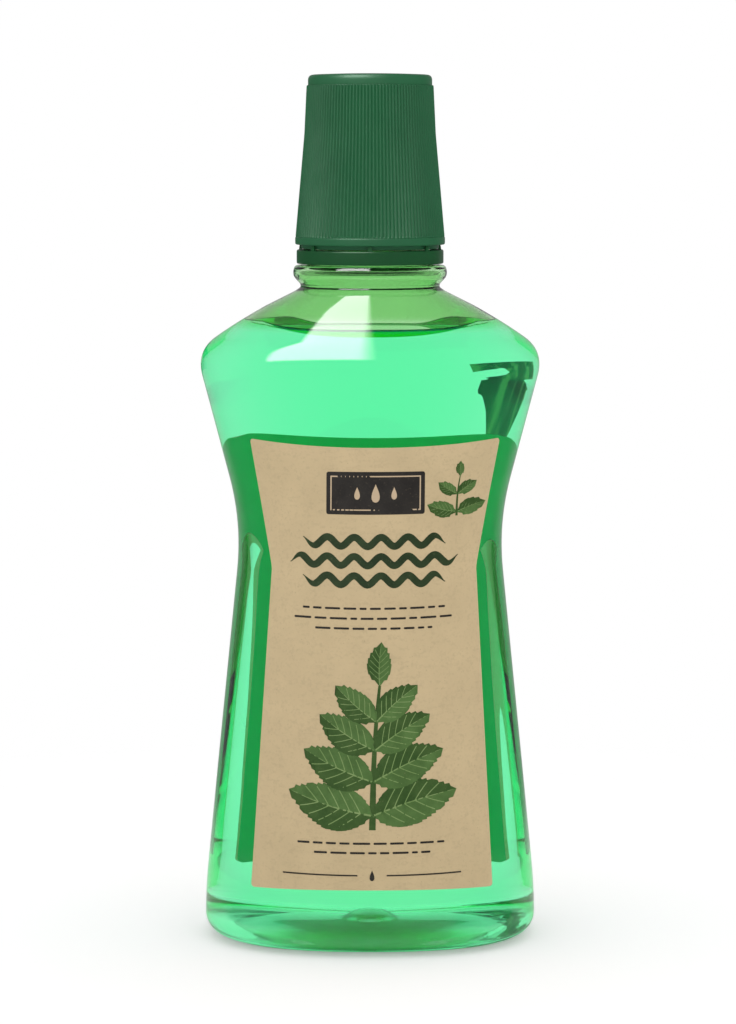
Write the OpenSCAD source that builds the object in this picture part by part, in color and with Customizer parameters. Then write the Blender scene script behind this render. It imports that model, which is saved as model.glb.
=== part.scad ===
// Mouthwash bottle with a screw-on dosing cap.
// The origin is the centre of the foot, +Z is up and the front label faces -Y.

/* [Body] */
// Width across the foot of the body
base_w = 82; // [74:0.5:96]
// Width across the waist, where the two straight flanks would meet
waist_w = 63.2; // [58:0.2:74]
// Width across the shoulder crease
shoulder_w = 85.2; // [76:0.2:100]
// Width half way up the shoulder
mid_shoulder_w = 65.6; // [58:0.1:72]
// Depth of the body from front to back
body_d = 62; // [54:0.5:70]
// Height at which the flanks start to lean in
hip_h = 12.8; // [10:0.1:20]
// Height of the waist
waist_h = 102.4; // [90:0.1:110]
// Height of the upper flanks, from the waist to the shoulder crease
flare_h = 42.2; // [34:0.1:52]
// Height of the shoulder, from the crease to the neck
shoulder_h = 15.8; // [12:0.1:24]
// Thickness of the bottle's wall
wall = 0.7; // [0.6:0.05:0.9]
// Thickness of the bottle's floor
floor_t = 1.4; // [1:0.1:2]
// Width of the foot's rounded edge
foot_round = 9.5; // [6:0.5:11]
// Width of the flat ring that the bottle stands on
foot_land = 3; // [2:0.1:4]
// Height of the push-up of the floor
push_up_h = 3.6; // [2.5:0.1:6]
// Rise of the round pip in the middle of the push-up
pip_h = 2.2; // [1:0.1:3]
// Radius of the pip
pip_r = 6; // [4:0.1:6]
// Distance from the bottle's inner wall to the mouthwash
fill_gap = 0.1; // [0.05:0.01:0.2]
// Height of the air over the mouthwash, up to the foot of the neck
air_h = 11.6; // [6:0.1:15]

/* [Neck] */
// Radius of the neck's bore
bore_r = 13.5; // [12:0.05:13.8]
// Radius of the neck's wall under the thread
neck_r = 15.2; // [14.9:0.05:15.3]
// Height of the neck's rim over the cap's lower edge
mouth_h = 10.6; // [9.2:0.1:12]
// Radius of the collar under the support ring
collar_r = 17.35; // [17.1:0.05:17.6]
// Height of the collar, from the shoulder to the support ring
collar_h = 1.2; // [1:0.1:4]
// Thickness of the support ring
support_t = 4; // [2:0.1:5]
// Radius of the support ring
support_r = 18.8; // [18.2:0.05:20]
// Radius of the bead that holds the tamper band down
bead_r = 16.1; // [15.9:0.05:16.2]
// Thickness of the bead
bead_t = 1.3; // [0.8:0.1:1.5]
// Height of the thread's lower end over the cap's lower edge
thread_h = 1.4; // [1.3:0.05:1.7]
// Rise of the thread in one turn
thread_lead = 4.2; // [3.8:0.1:4.4]
// Height of the thread's ridge over its wall
thread_depth = 0.9; // [0.7:0.05:0.95]
// Width of the thread's ridge at its foot
thread_w = 1.9; // [1.5:0.05:1.9]
// Distance between the two threads' flanks
thread_gap = 0.15; // [0.1:0.01:0.3]
// Turns of thread on the neck
neck_turns = 1.25; // [1.1:0.05:1.4]

/* [Cap] */
// Height of the cap
cap_h = 41.4; // [34:0.2:60]
// Radius of the cap's lower edge
cap_base_r = 18.3; // [18.1:0.05:19]
// Height of the plain band round the cap's lower edge
cap_band_h = 1.9; // [1.5:0.1:2.5]
// Height of the ribs' lower stretch, which tapers more
cap_lower_h = 24.5; // [18:0.5:28]
// Radius of the cap where its taper changes
cap_mid_r = 16.05; // [15.8:0.05:16.8]
// Radius of the cap at the top of its ribs
cap_rib_r = 15.45; // [15.2:0.05:15.7]
// Radius of the smooth disc on the cap's top
cap_disc_r = 15.1; // [14.6:0.05:15.15]
// Height of the smooth disc
cap_disc_h = 2.8; // [2:0.1:4]
// Radius of the disc's rounded edge
cap_round = 1.1; // [0.6:0.1:1.5]
// Rise of the disc from its edge to its middle
cap_dome = 0.3; // [0:0.1:0.5]
// Number of grip ribs round the cap
rib_count = 120; // [80:1:140]
// Step from the plain band in to the ribs' crests
rib_step = 0.1; // [0.05:0.05:0.2]
// Depth of the grooves between the ribs
rib_depth = 0.3; // [0.15:0.05:0.35]
// Radius of the cap's inner wall round its thread
cap_bore_r = 16.4; // [16.35:0.05:16.45]
// Outer radius of the thin lip that hangs down from the cap's edge behind the slit
cap_lip_r = 16.8; // [16.75:0.05:16.9]
// Distance from that lip to the tamper band
cap_lip_gap = 0.3; // [0.3:0.05:0.4]
// Thickness of the cap's wall above its thread
cap_wall = 1.3; // [1:0.05:1.4]
// Thickness of the cap's top
cap_top_t = 1.6; // [1:0.1:2.5]
// Inner radius of the ledge that seals on the neck's rim
ledge_r = 14; // [13.8:0.05:14.3]
// Thickness of the sealing ledge
ledge_t = 1.2; // [0.8:0.1:2]
// Distance from the neck's rim to the sealing ledge
seal_gap = 0.05; // [0.02:0.01:0.1]
// Turns of thread in the cap
cap_turns = 1; // [0.75:0.05:1]

/* [Tamper band] */
// Outer radius of the tamper band
band_r = 17.95; // [17.85:0.05:18.1]
// Thickness of the tamper band's wall
band_wall = 1.3; // [1:0.05:1.35]
// Height of the tamper band
band_h = 3.4; // [2.8:0.1:5]
// Distance from the support ring to the tamper band
band_gap = 0.35; // [0.3:0.05:0.45]
// Inner radius of the lip that catches under the neck's bead
lip_r = 15.7; // [15.6:0.05:15.8]
// Height of the lip
lip_h = 1; // [0.8:0.05:1.1]
// Distance from the lip up to the neck's bead
lip_gap = 0.3; // [0.3:0.05:0.4]
// Height of the slit between the tamper band and the cap
slit_h = 1.25; // [0.5:0.05:2]
// Number of thin bridges from the band to the cap
bridge_count = 7; // [4:1:12]
// Width of a bridge
bridge_w = 1.2; // [0.8:0.1:2]
// Thickness of a bridge
bridge_t = 0.6; // [0.4:0.05:0.8]
// Distance from the tamper band's outside in to a bridge
bridge_inset = 0.2; // [0.1:0.05:0.25]
// Distance from a bridge to the cap's lower edge
bridge_gap = 0.05; // [0.02:0.01:0.1]

/* [Labels] */
// Height of both labels' bottom edges, in the middle
label_base_h = 16.8; // [15.5:0.1:20]
// Height of both labels' waists over their bottom edges
label_waist_h = 77; // [66:0.5:86]
// Width of the front label along its bottom edge
front_base_w = 58.8; // [54:0.2:64]
// Width of the front label across its waist
front_waist_w = 49.2; // [44:0.2:54]
// Width of the front label along its top edge
front_top_w = 60; // [54:0.5:64]
// Height of the front label, in the middle
front_h = 106.6; // [94:0.2:112]
// Rise of the front label's top edge from its middle to its corners
front_arch = 1.4; // [0.5:0.1:2]
// Drop of the front label's bottom edge from its middle to its corners
front_sag = 0.9; // [0:0.1:2]
// Width of the back label along its bottom edge
back_base_w = 45.8; // [40:0.2:64]
// Width of the back label across its waist
back_waist_w = 28.4; // [26:0.2:54]
// Width of the back label along its top edge
back_top_w = 40.6; // [36:0.2:64]
// Height of the back label, in the middle
back_h = 105.4; // [94:0.2:112]
// Rise of the back label's top edge and drop of its bottom edge, from the middle to the corners
back_arch = 4; // [0:0.1:5]
// Radius of the labels' corners
label_corner = 0.8; // [0.4:0.1:4]
// Thickness of a label's paper
paper_t = 0.2; // [0.15:0.01:0.3]
// Thickness of the glue under a label
glue_t = 0.08; // [0.06:0.01:0.15]

/* [Hidden] */
$fn = 96;

// How far a ridge, a bridge or the collar is sunk into what carries it
sink = 0.25;
// Radius of the neck's rounded rim
rim_round = 0.8;
// Steps round the body, along a rounded corner and along one turn of a thread
around = 48;
round_steps = 4;
turn_steps = 36;
// Greatest distance in height between two levels of the body's skin
level_gap = 12;
// Steps across a label, along each straight half of its edge and along its corners
label_across = 14;
label_steps = 5;
corner_steps = 3;

// Exponents of the body's cross-section, an oval that is fullest at the foot and the crease,
// nearly an ellipse on the flanks, a little leaner still at the waist, and round at the neck
foot_power = 2.4;
hip_power = 2.05;
waist_power = 1.88;
crease_power = 2.4;
mid_power = 2.1;
round_power = 2;
// Shares of the straight stretches below and above each corner that its round takes
foot_round_shares = [1, 0.45];
hip_round_shares = [0.4, 0.08];
waist_round_shares = [0.13, 0.27];
crease_round_shares = [0.14, 0.47];
mid_round_shares = [0.5, 0.46];
// Shares of a wall's thickness that each corner moves by: up, in across, in from the front
straight_inset_shares = [0, -1, -1, 0];
crease_inset_shares = [-0.44, -1.14, -1, 0];
mid_inset_shares = [0, -1.86, -1.22, 0];
neck_inset_shares = [0, -1.5, -1.5, 0];
// Depth half way up the shoulder, as a share of the mean of the body's depth and the neck's
mid_depth_share = 1.02;
// Height half way up the shoulder, as a share of the shoulder's height
mid_height_share = 0.443;
// Rings of the pip from the middle out: shares of its radius and of its rise
pip_shares = [[0.4, 0.92], [0.72, 0.6], [1, 0.12]];
// Rings of the push-up from the pip out: shares of its size across and of its height
push_up_shares = [[0.55, 0.88], [0.78, 0.52], [0.92, 0.16]];
// Radius of the support ring's rounded edges, as shares of its thickness and of its overhang
support_round_shares = [0.45, 0.95];
// Levels of the cap's domed top from its edge in, as shares of its radius
dome_shares = [0.7, 0.35, 0];
// Half width of a thread's crest, as a share of the width of its foot
crest_share = 0.25;
// Share of a turn over which a thread fades out at its ends
fade_share = 0.08;

// Levels, from the pip up to the cap's top
pip_level = push_up_h + pip_h;
crease_level = waist_h + flare_h;
neck_level = crease_level + shoulder_h;
fill_level = neck_level - air_h;
support_level = neck_level + collar_h;
support_top = support_level + support_t;
band_level = support_top + band_gap;
band_top = band_level + band_h;
bead_level = band_level + lip_h + lip_gap;
cap_level = band_top + slit_h;
cap_band_top = cap_level + cap_band_h;
cap_mid_level = cap_band_top + cap_lower_h;
rim_level = cap_level + mouth_h;
ledge_level = rim_level + seal_gap;
cap_top = cap_level + cap_h;
cap_rib_top = cap_top - cap_disc_h;
collar_base = neck_level - 2 * sink;

neck_inset = collar_r - sink;
support_round = min(
    support_t * support_round_shares[0],
    (support_r - collar_r) * support_round_shares[1]);
cap_foot_r = cap_base_r - rib_step;

// Corners of the body's outline: height, half width, half depth, exponent
mid_depth = (body_d / 2 + neck_inset) / 2 * mid_depth_share;
foot = [0, base_w / 2 - foot_round, body_d / 2 - foot_round, foot_power];
heel = [0, base_w / 2, body_d / 2, foot_power];
hip = [hip_h, base_w / 2 - sink, body_d / 2, hip_power];
waist = [waist_h, waist_w / 2, body_d / 2, waist_power];
crease = [crease_level, shoulder_w / 2, body_d / 2, crease_power];
mid_level = crease_level + shoulder_h * mid_height_share;
mid_shoulder = [mid_level, mid_shoulder_w / 2, mid_depth, mid_power];
neck_root = [neck_level, neck_inset, neck_inset, round_power];
land = foot - [0, foot_land, foot_land, 0];

// A rounded corner of the outline, as a curve that touches both of its straight stretches
function rounded(before, at, after, shares) =
    let(from = at + (before - at) * shares[0], to = at + (after - at) * shares[1])
    [for (i = [0:round_steps])
        let(t = i / round_steps)
        from * (1 - t) * (1 - t) + at * 2 * t * (1 - t) + to * t * t];

// The body's outline from the foot to the neck, moved in by inset, with its foot at floor_h
function outline(inset, floor_h) =
    let(lift = [floor_h, 0, 0, 0],
        c0 = foot + lift,
        c1 = heel + lift + inset * straight_inset_shares,
        c2 = hip + inset * straight_inset_shares,
        c3 = waist + inset * straight_inset_shares,
        c4 = crease + inset * crease_inset_shares,
        c5 = mid_shoulder + inset * mid_inset_shares,
        c6 = neck_root + inset * neck_inset_shares)
    concat(
        rounded(c0, c1, c2, foot_round_shares),
        rounded(c1, c2, c3, hip_round_shares),
        rounded(c2, c3, c4, waist_round_shares),
        rounded(c3, c4, c5, crease_round_shares),
        rounded(c4, c5, c6, mid_round_shares),
        [c6]);

// The pip, the push-up and the flat ring round it, from the middle out
function floor_rings(floor_h) = concat(
    [for (s = pip_shares)
        [floor_h + push_up_h + pip_h * s[1], pip_r * s[0], pip_r * s[0], round_power]],
    [for (s = push_up_shares)
        [floor_h + push_up_h * s[1], land[1] * s[0], land[2] * s[0], foot_power]],
    [land + [floor_h, 0, 0, 0]]);

// The same stations, with more of them where two are far apart
function filled(stations) = concat(
    [stations[0]],
    [for (k = [1:len(stations) - 1])
        let(a = stations[k - 1],
            b = stations[k],
            count = max(1, ceil(abs(b[0] - a[0]) / level_gap)))
        for (i = [1:count]) a + (b - a) * i / count]);

function tub(inset, floor_h) = filled(concat(floor_rings(floor_h), outline(inset, floor_h)));

function column(stations, i) = [for (s = stations) [s[0], s[i]]];

// The station at a height between two stations of an outline
function station_at(stations, height) =
    [height, for (i = [1:3]) lookup(height, column(stations, i))];

function curve(angle_cos, power) = sign(angle_cos) * pow(abs(angle_cos), 2 / power);

function ring(s) = [for (i = [0:around - 1])
    let(t = 360 * i / around)
    [s[1] * curve(cos(t), s[3]), s[2] * curve(sin(t), s[3]), s[0]]];

function body_rings(stations) = [for (s = stations) ring(s)];

function reversed(v) = [for (i = [len(v) - 1:-1:0]) v[i]];

function two_triangles(a, b, c, d) = [[a, b, c], [a, c, d]];

// A closed skin through rings of points, with a point in the middle of each end. Each of its
// facets is cut along the diagonal that rises, so that skins through like rings are cut alike
module loft(start, rings, end) {
    count = len(rings);
    steps = len(rings[0]);
    function at(k, i) = 1 + k * steps + i % steps;
    function rises(k) = rings[k][0][2] < rings[k + 1][0][2];
    last = 1 + count * steps;
    faces = concat(
        [for (i = [0:steps - 1]) [0, at(0, i), at(0, i + 1)]],
        [for (k = [0:count - 2], i = [0:steps - 1])
            each rises(k)
                ? two_triangles(at(k, i), at(k + 1, i), at(k + 1, i + 1), at(k, i + 1))
                : two_triangles(at(k + 1, i), at(k + 1, i + 1), at(k, i + 1), at(k, i))],
        [for (i = [0:steps - 1]) [at(count - 1, i), last, at(count - 1, i + 1)]]);
    polyhedron(concat([start], [for (r = rings) each r], [end]), faces);
}

// A thread's ridge on a wall of radius wall_r, standing out with side 1 and in with side -1
module thread(wall_r, side, turns, low_h, low_angle) {
    steps = ceil(turns * turn_steps);
    points = [for (j = [0:steps])
        let(share = j / steps,
            angle = low_angle + 360 * turns * share,
            height = low_h + thread_lead * turns * share,
            fade = min(1, share * turns / fade_share, (1 - share) * turns / fade_share),
            foot_r = wall_r - side * sink,
            crest_r = wall_r + side * ((thread_depth + sink / 2) * fade - sink / 2))
        each [for (p = [[foot_r, -0.5], [crest_r, -crest_share], [crest_r, crest_share], [foot_r, 0.5]])
            [p[0] * cos(angle), p[0] * sin(angle), height + thread_w * p[1]]]];
    function at(j, i) = 4 * j + i % 4;
    skin = [for (j = [0:steps - 1], i = [0:3])
        each two_triangles(at(j, i), at(j, i + 1), at(j + 1, i + 1), at(j + 1, i))];
    ends = concat(
        two_triangles(at(0, 3), at(0, 2), at(0, 1), at(0, 0)),
        two_triangles(at(steps, 0), at(steps, 1), at(steps, 2), at(steps, 3)));
    faces = concat(skin, ends);
    polyhedron(points, side > 0 ? faces : [for (f = faces) reversed(f)]);
}

// A quarter circle of an outline about centre, from from_angle to to_angle
function arc(centre, radius, from_angle, to_angle) = [for (i = [0:round_steps])
    let(t = from_angle + (to_angle - from_angle) * i / round_steps)
    centre + radius * [cos(t), sin(t)]];

// The turned neck: collar, support ring, bead and rim, round a bore that flares downwards
module neck() {
    flare_r = neck_inset - 2 * wall;
    rotate_extrude()
        polygon(concat(
            [[flare_r, collar_base], [collar_r, collar_base], [collar_r, support_level]],
            arc([support_r - support_round, support_level + support_round], support_round, -90, 0),
            arc([support_r - support_round, support_top - support_round], support_round, 0, 90),
            [[neck_r, support_top], [neck_r, bead_level], [bead_r, bead_level]],
            [[bead_r, bead_level + bead_t / 2], [neck_r, bead_level + bead_t]],
            arc([neck_r - rim_round, rim_level - rim_round], rim_round, 0, 90),
            [[bore_r, rim_level], [bore_r, support_level]]));
}

module bottle() {
    color([0.62, 0.87, 0.6, 0.5])
        union() {
            loft(
                [0, 0, pip_level],
                body_rings(concat(tub(0, 0), reversed(tub(wall, floor_t)))),
                [0, 0, pip_level + floor_t]);
            neck();
            thread(neck_r, 1, neck_turns, cap_level + thread_h, 0);
        }
}

module mouthwash() {
    stations = tub(wall + fill_gap, floor_t + fill_gap);
    top = station_at(outline(wall + fill_gap, floor_t + fill_gap), fill_level);
    color([0.38, 0.93, 0.65])
        loft(
            [0, 0, pip_level + floor_t + fill_gap],
            body_rings(concat([for (s = stations) if (s[0] < fill_level) s], [top])),
            [0, 0, fill_level]);
}

// A level of the fluted skin, with its ribs' crests at radius r and grooves between them
function flutes(r, height) = [for (i = [0:2 * rib_count - 1])
    let(q = i % 2 == 0 ? r : r * (1 - rib_depth / cap_base_r), t = 180 * i / rib_count)
    [q * cos(t), q * sin(t), height]];

module cap_skin() {
    lip_drop = slit_h - cap_lip_gap;
    translate([0, 0, cap_level])
        cylinder(r = cap_base_r, h = cap_band_h);
    translate([0, 0, cap_level - lip_drop])
        cylinder(r = cap_lip_r, h = lip_drop + sink);
    loft(
        [0, 0, cap_band_top - sink],
        [
            flutes(cap_foot_r, cap_band_top - sink),
            flutes(cap_mid_r, cap_mid_level),
            flutes(cap_rib_r, cap_rib_top)
        ],
        [0, 0, cap_rib_top]);
    flat_r = cap_disc_r - cap_round;
    rotate_extrude()
        polygon(concat(
            [[0, cap_rib_top - sink], [cap_disc_r, cap_rib_top - sink]],
            arc([flat_r, cap_top - cap_dome - cap_round], cap_round, 0, 90),
            [for (s = dome_shares) [flat_r * s, cap_top - cap_dome * s * s]]));
}

// The hollow of the cap: its threaded mouth, its sealing ledge and the measuring cup above
module cap_hollow() {
    inset = cap_wall + rib_depth;
    ledge_top = ledge_level + ledge_t;
    profile = [[cap_band_top, cap_foot_r], [cap_mid_level, cap_mid_r], [cap_rib_top, cap_rib_r]];
    cup_foot = ledge_top + ledge_t / 2;
    rotate_extrude()
        polygon([
            [0, cap_level - slit_h],
            [cap_bore_r, cap_level - slit_h],
            [cap_bore_r, ledge_level],
            [ledge_r, ledge_level],
            [ledge_r, ledge_top],
            [lookup(cup_foot, profile) - inset, cup_foot],
            [cap_mid_r - inset, cap_mid_level],
            [cap_rib_r - inset, cap_top - cap_top_t],
            [0, cap_top - cap_top_t]]);
}

module dosing_cap() {
    flank = thread_w * (1 - (cap_bore_r - neck_r) / thread_depth * (0.5 - crest_share));
    lead_in = neck_turns - cap_turns;
    low_h = cap_level + thread_h + thread_lead * lead_in - flank - thread_gap;
    color([0.2, 0.4, 0.29])
        union() {
            difference() {
                cap_skin();
                cap_hollow();
            }
            thread(cap_bore_r, -1, cap_turns, low_h, 360 * lead_in);
        }
}

module tamper_band() {
    inner_r = band_r - band_wall;
    bridge_r = band_r - bridge_inset - bridge_t / 2;
    bridge_top = cap_level - bridge_gap;
    color([0.16, 0.35, 0.24])
        union() {
            rotate_extrude()
                polygon([
                    [lip_r, band_level + lip_h / 2],
                    [lip_r + lip_h / 2, band_level],
                    [band_r, band_level],
                    [band_r, band_top],
                    [inner_r, band_top],
                    [inner_r, band_level + lip_h],
                    [lip_r, band_level + lip_h]]);
            for (i = [0:bridge_count - 1])
                rotate([0, 0, 360 * i / bridge_count - 90])
                    translate([bridge_r - bridge_t / 2, -bridge_w / 2, band_top - sink])
                        cube([bridge_t, bridge_w, bridge_top - band_top + sink]);
        }
}

// Rows of a label from its bottom edge up: height and half width
function label_rows(widths, label_h) =
    let(low = label_base_h,
        middle = low + label_waist_h,
        high = low + label_h,
        edge = [[low, widths[0] / 2], [middle, widths[1] / 2], [high, widths[2] / 2]],
        low_straight = low + label_corner,
        high_straight = high - label_corner)
    concat(
        [for (i = [0:corner_steps])
            let(t = 90 * i / corner_steps, z = low_straight - label_corner * cos(t))
            [z, lookup(z, edge) - label_corner * (1 - sin(t))]],
        [for (i = [1:label_steps])
            let(z = low_straight + (middle - low_straight) * i / label_steps)
            [z, lookup(z, edge)]],
        [for (i = [1:label_steps])
            let(z = middle + (high_straight - middle) * i / label_steps)
            [z, lookup(z, edge)]],
        [for (i = [1:corner_steps])
            let(t = 90 * i / corner_steps, z = high_straight + label_corner * sin(t))
            [z, lookup(z, edge) - label_corner * (1 - cos(t))]]);

// A row of label points on the body's front, outset from it, with its ends raised by lift
function label_row(row, outset, lift) =
    let(skin = outline(-outset, 0))
    [for (j = [0:label_across])
        let(s = 2 * j / label_across - 1,
            z = row[0] + lift * s * s,
            at = station_at(skin, z),
            x = row[1] * s)
        [x, -at[2] * pow(1 - pow(abs(x) / at[1], at[3]), 1 / at[3]), z]];

// A label on the body's front: widths at its bottom edge, its waist and its top edge, height
// in the middle, rise of its upper corners and drop of its lower ones, none at the waist
module label(widths, label_h, arch, sag) {
    rows = label_rows(widths, label_h);
    top = len(rows) - 1;
    far = label_across;
    waist_level = label_base_h + label_waist_h;
    function lift(height) =
        let(share = (height - waist_level) / (label_h - label_waist_h))
        share > 0 ? arch * share : sag * (height - waist_level) / label_waist_h;
    function paper(outset) = [for (row = rows) each label_row(row, outset, lift(row[0]))];
    function out(r, j) = r * (far + 1) + j;
    function in(r, j) = (top + 1) * (far + 1) + out(r, j);
    faces = concat(
        [for (r = [0:top - 1], j = [0:far - 1])
            each two_triangles(out(r, j), out(r + 1, j), out(r + 1, j + 1), out(r, j + 1))],
        [for (r = [0:top - 1], j = [0:far - 1])
            each two_triangles(in(r, j), in(r, j + 1), in(r + 1, j + 1), in(r + 1, j))],
        [for (j = [0:far - 1])
            each two_triangles(out(0, j), out(0, j + 1), in(0, j + 1), in(0, j))],
        [for (j = [0:far - 1])
            each two_triangles(out(top, j + 1), out(top, j), in(top, j), in(top, j + 1))],
        [for (r = [0:top - 1])
            each two_triangles(out(r + 1, 0), out(r, 0), in(r, 0), in(r + 1, 0))],
        [for (r = [0:top - 1])
            each two_triangles(out(r, far), out(r + 1, far), in(r + 1, far), in(r, far))]);
    polyhedron(concat(paper(glue_t + paper_t), paper(glue_t)), faces);
}

module front_label() {
    color([0.8, 0.7, 0.55])
        label([front_base_w, front_waist_w, front_top_w], front_h, front_arch, front_sag);
}

module back_label() {
    color([0.8, 0.7, 0.55])
        rotate([0, 0, 180])
            label([back_base_w, back_waist_w, back_top_w], back_h, back_arch, back_arch);
}

bottle();
mouthwash();
dosing_cap();
tamper_band();
front_label();
back_label();
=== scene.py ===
"""Mouthwash bottle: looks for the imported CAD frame. Sizes are in millimetres until a mesh is made."""

import math

import bmesh
import bpy
import numpy as np
from mathutils import Matrix, Vector


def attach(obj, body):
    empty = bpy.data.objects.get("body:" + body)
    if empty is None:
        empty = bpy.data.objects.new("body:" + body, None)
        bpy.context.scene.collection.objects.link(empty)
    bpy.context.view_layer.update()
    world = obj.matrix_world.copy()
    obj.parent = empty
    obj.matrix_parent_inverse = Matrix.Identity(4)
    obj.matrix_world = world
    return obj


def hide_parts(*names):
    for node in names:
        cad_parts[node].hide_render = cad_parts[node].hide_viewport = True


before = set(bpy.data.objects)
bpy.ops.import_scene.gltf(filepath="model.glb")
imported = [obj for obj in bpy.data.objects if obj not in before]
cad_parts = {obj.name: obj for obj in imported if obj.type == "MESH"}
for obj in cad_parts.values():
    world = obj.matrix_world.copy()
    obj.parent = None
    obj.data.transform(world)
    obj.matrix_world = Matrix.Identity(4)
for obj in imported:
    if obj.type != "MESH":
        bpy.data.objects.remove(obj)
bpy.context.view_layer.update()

MM = 0.001

# Camera: where it stands and looks, read off the photograph's perspective
VIEW_DISTANCE, VIEW_HEIGHT = 833, 194
VIEW_PITCH, AIM_LEFT = 6.11, 0.035
FOCAL_SHARE = 3400 / 1024
CLIP = (0.01, 10)
LIGHT_BOUNCES = 24

TOTAL_H = 212

# Body: corners of its outline from the foot up, as height, half width, half depth and exponent
CORNERS = np.array([
    (0, 31.5, 21.5, 2.4),
    (0, 41, 31, 2.4),
    (12.8, 40.75, 31, 2.05),
    (102.4, 31.6, 31, 1.88),
    (144.6, 42.6, 31, 2.4),
    (151.6, 32.8, 24.53, 2.1),
    (160.4, 17.1, 17.1, 2),
])
# Shares of a wall's thickness that each corner moves by when the outline is inset
INSETS = np.array([
    (0, 0, 0, 0),
    (0, -1, -1, 0),
    (0, -1, -1, 0),
    (0, -1, -1, 0),
    (-0.44, -1.14, -1, 0),
    (0, -1.86, -1.22, 0),
    (0, -1.5, -1.5, 0),
])
# Shares of the straight stretches below and above each inner corner that its round takes
ROUNDS = [(1, 0.45), (0.4, 0.08), (0.13, 0.27), (0.14, 0.47), (0.5, 0.46)]
# Pip in the middle of the push-up: radius and height of its rings
PIP = [(1.2, 5.76), (2.4, 5.6), (3.3, 5.35), (4.3, 4.85), (5.2, 4.2), (6, 3.85), (7, 3.62)]
# Rings of the push-up from the pip out: shares of the flat ring's size and of the push-up's height
PUSH_UP = [(0.55, 0.88), (0.67, 0.72), (0.78, 0.52), (0.85, 0.33), (0.92, 0.16), (0.97, 0.04)]
PUSH_UP_H, PIP_H = 3.6, 5.8
LAND = CORNERS[0] - (0, 3, 3, 0)
WALL, FLOOR_T = 0.7, 1.4
ROUND_STEPS, PROFILE_STEPS = 12, 5
RING_GAP = 3
AROUND = 256

# Mouthwash: it wets the wall, so its side lies inside the plastic, and its surface climbs the wall,
# higher at the sides, where the shoulder leans over it
WET_INSET = 0.35
LEVEL = 149.8
CLIMB_FRONT, CLIMB_BACK, CLIMB_SIDE, CLIMB_REACH = 1.1, 0.45, 2.6, 0.5
# Its edge, darkened with painted shade, starts this far below the level, is at least this high, and reaches
# this far inward
EDGE_DROP, EDGE_MIN, EDGE_REACH = 0.6, 0.15, 0.9
# How the edge rises with the cosine round the bottle: factor and power of its top and foot in front and
# of its foot behind, and between which cosines its top rises behind
TOP_FRONT, FOOT_FRONT, FOOT_BACK, TOP_BACK = (2.9, 3.5), (4.9, 2.2), (3.1, 6), (0.29, 0.69)
# Shares of the height below the edge and of the edge's height, reaches inward, and shares of what is left
BELOW_STEPS, EDGE_STEPS = (0.35, 0.7), (0, 0.35, 0.7, 1)
SURFACE_STEPS = (0.05, 0.13, 0.25, 0.4, 0.6, 0.9, 1.4, 2, 3, 5, 8)
MIDDLE_STEPS = (0.6, 0.25)

# Neck: radius, height and how far from the corner its round starts
NECK_PROFILE = [
    (18.4, 159.25, 0),
    (17.0, 160.2, 0.5),
    (17.0, 160.9, 0.4),
    (18.95, 163.1, 1.1),
    (18.5, 165.6, 1.0),
    (15.2, 165.6, 0.4),
    (15.2, 167.25, 0.3),
    (16.1, 167.25, 0.25),
    (16.1, 167.9, 0.25),
    (15.2, 168.55, 0.3),
    (15.2, 181.2, 0.8),
    (13.5, 181.2, 0.5),
    (13.5, 165, 0.4),
    (17.2, 164.8, 0.7),
    (17.7, 163.2, 0.8),
    (15.9, 161.1, 0.4),
    (15.9, 160.3, 0.5),
    (17.4, 159.3, 0),
]
NECK_R, THREAD_ZONE = 15.2, (170.4, 178.8)
# Turns, lowest height and where round the neck or the bore a thread starts
NECK_THREAD, CAP_THREAD = (1.25, 172, 0), (1, 171.633, 0.25)
THREAD_LEAD, THREAD_DEPTH, THREAD_W, CREST_SHARE, FADE_SHARE = 4.2, 0.9, 1.9, 0.25, 0.08
THREAD_STEP = 0.16

# Cap and tamper band: radius, height, reach of the corner's round
CAP_OUTSIDE = [
    (0, 212, 0),
    (8, 211.95, 5),
    (15.1, 211.67, 1.3),
    (15.1, 209.1, 0.2),
    (14.6, 208.6, 0.2),
    (15.4, 197, 0.5),
    (17.5, 172.5, 0.1),
    (18.3, 172.5, 0.35),
    (18.3, 170.6, 0.45),
    (16.8, 170.6, 0.1),
    (16.8, 169.65, 0.1),
    (16.4, 169.65, 0.1),
    (16.4, 181.25, 0.3),
    (14, 181.25, 0.3),
    (14, 182.45, 0.4),
    (15.6, 183.2, 0.6),
    (14.45, 197, 0.5),
    (13.85, 210.4, 1.4),
    (0, 210.4, 0),
]
CAP_BORE_R = 16.4
RIBS, RIB_DEPTH, RIB_POINTS, GROOVE_POWER = 120, 0.36, 8, 1.6
# The ribbed skin, as radius of the crests, height and share of the rib's depth
RIB_LEVELS = [(18.0, 172.3, 0), (18.2, 172.6, 0.4), (18.17, 173, 1), (16.1, 196.4, 1), (16.0, 197.6, 1),
              (15.47, 208.7, 1), (15.42, 209.1, 0.5), (15.2, 209.2, 0)]
RIB_BACKING = 0.7
BAND_PROFILE = [
    (15.7, 166.45, 0.1),
    (16.2, 165.95, 0.1),
    (17.95, 165.95, 0.45),
    (17.95, 169.35, 0.45),
    (16.65, 169.35, 0.3),
    (16.65, 166.95, 0.3),
    (15.7, 166.95, 0.1),
]
BRIDGES, BRIDGE_R, BRIDGE_Z, BRIDGE_SIZE = 7, 17.45, 169.75, (0.6, 1.2, 1.6)
# A bridge's share of its width and of its height from the middle, from its root to where it tears
BRIDGE_TAPER = [(1.3, -0.5), (1, -0.2), (0.8, 0.2), (0.55, 0.5)]

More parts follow.
